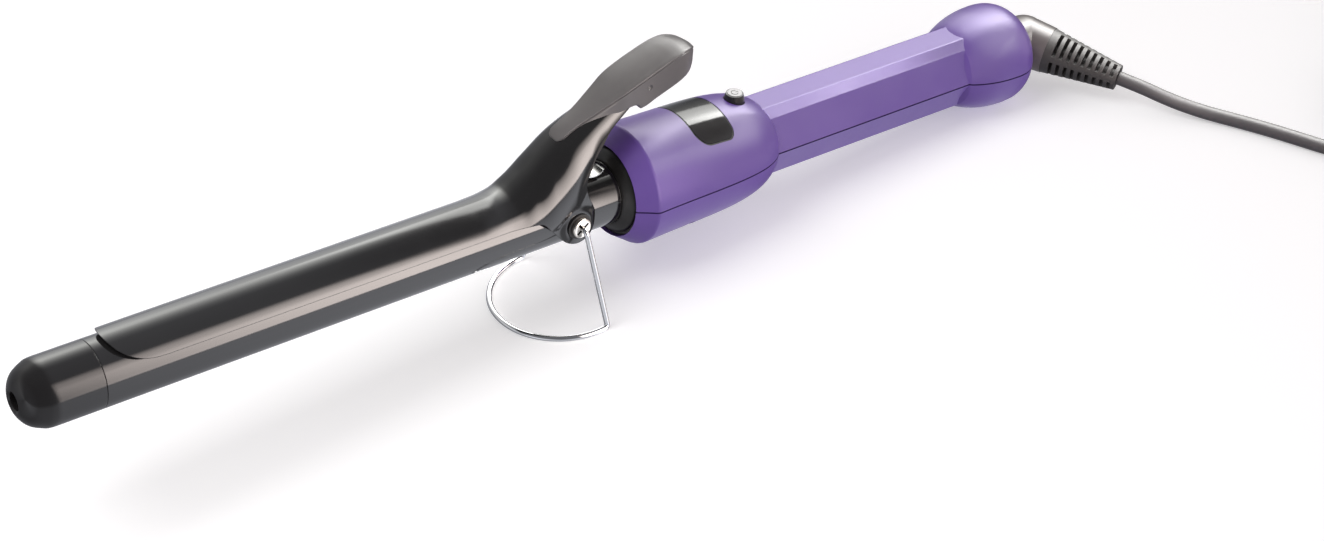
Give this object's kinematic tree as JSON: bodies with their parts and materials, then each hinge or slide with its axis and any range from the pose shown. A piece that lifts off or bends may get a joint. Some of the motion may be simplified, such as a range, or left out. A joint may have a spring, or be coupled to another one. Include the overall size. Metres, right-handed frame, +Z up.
{
  "type": "curling iron",
  "caption": "Curling iron with a heated round barrel, sprung clamp with thumb lever, folding wire rest, shaped handle with display window and button, and a swivelling mains cord with plug.",
  "frame": {"origin": "on the floor, under the middle of the box of the resting iron without its cord", "axes": "+X from the barrel's tip towards the handle, +Y to the far side, +Z up; the iron rests on its wire stand and the rear bulb of the handle, nose up by 5.6 degrees"},
  "size_m": [0.5674, 0.1863, 0.0819],
  "materials": {
    "gunmetal": "glossy dark gunmetal coating",
    "tip": "glossy heat-proof plastic",
    "pad": "satin charcoal plastic",
    "purple": "soft matte purple",
    "collar": "black satin",
    "chrome": "bright chrome wire",
    "nickel": "bright nickel",
    "washer": "black fibre",
    "lens": "smoked clear plastic",
    "seal": "black",
    "button": "black satin",
    "button_cap": "silver plated",
    "elbow": "black satin",
    "relief": "charcoal soft PVC",
    "cord": "charcoal PVC sheath",
    "tie": "black hook-and-loop tape",
    "plug": "moulded charcoal PVC",
    "plug_pins": "nickel-plated brass",
    "steel": "zinc-plated steel",
    "aluminium": "extruded",
    "ceramic": "white ceramic",
    "contact": "bare brass",
    "inner_plastic": "glass-filled nylon",
    "board": "green solder mask",
    "leads": "silicone insulation",
    "sensor": "glazed"
  },
  "bodies": {
    "handle": {"barrel_mount": "inner_plastic", "barrel_tube": "gunmetal", "brush_contacts": "contact", "ceramic_heater": "ceramic", "circuit_board": "board", "cool_tip": "tip", "cord_coil": "cord", "cord_tie": "tie", "display_module": "inner_plastic", "display_window": "lens", "front_collar": "collar", "handle_lower_shell": "purple", "handle_screws": "steel", "handle_upper_shell": "purple", "heat_spreader_lower": "aluminium", "heat_spreader_upper": "aluminium", "heater_leads": "leads", "inner_leads": "leads", "pivot_bushes": "contact", "pivot_screws": "nickel", "pivot_washers": "washer", "plug_body": "plug", "plug_lead": "cord", "plug_pins": "plug_pins", "power_cord": "cord", "swivel_bearing": "inner_plastic", "tact_switch": "inner_plastic", "temperature_sensor": "sensor", "thermal_fuse": "sensor", "tip_anchor": "inner_plastic", "tip_screw": "steel", "triac": "inner_plastic", "window_seal": "seal"},
    "clamp": {"clamp_plate": "gunmetal", "thumb_pad": "pad", "pad_screws": "steel", "clamp_spring": "steel", "spring_rivet": "steel"},
    "stand": {"wire_stand": "chrome"},
    "button": {"power_button": "button", "button_cap": "button_cap"},
    "swivel": {"swivel_elbow": "elbow", "strain_relief": "relief", "slip_rings": "contact", "retaining_clip": "steel"}
  },
  "joints": [
    {"name": "clamp_hinge", "type": "hinge", "parent": "handle", "child": "clamp", "pos_m": [-0.01266, 0, 0.03685], "axis": [0, 1, 0], "range_deg": [0, 18], "stiffness_Nm_per_rad": 0.6, "springref_deg": -14.32, "deforming": ["clamp_spring"]},
    {"name": "stand_hinge", "type": "hinge", "parent": "handle", "child": "stand", "pos_m": [-0.01266, 0, 0.03685], "axis": [0, -1, 0], "range_deg": [-35, 80]},
    {"name": "button_press", "type": "slide", "parent": "handle", "child": "button", "axis": [-0.0976, 0, -0.9952], "range_m": [0, 0.0008], "stiffness_N_per_m": 1500, "springref_m": -0.0006},
    {"name": "cord_swivel", "type": "hinge", "parent": "handle", "child": "swivel", "pos_m": [0.18927, 0, 0.01705], "axis": [-0.9952, 0, 0.0976], "continuous": true}
  ]
}
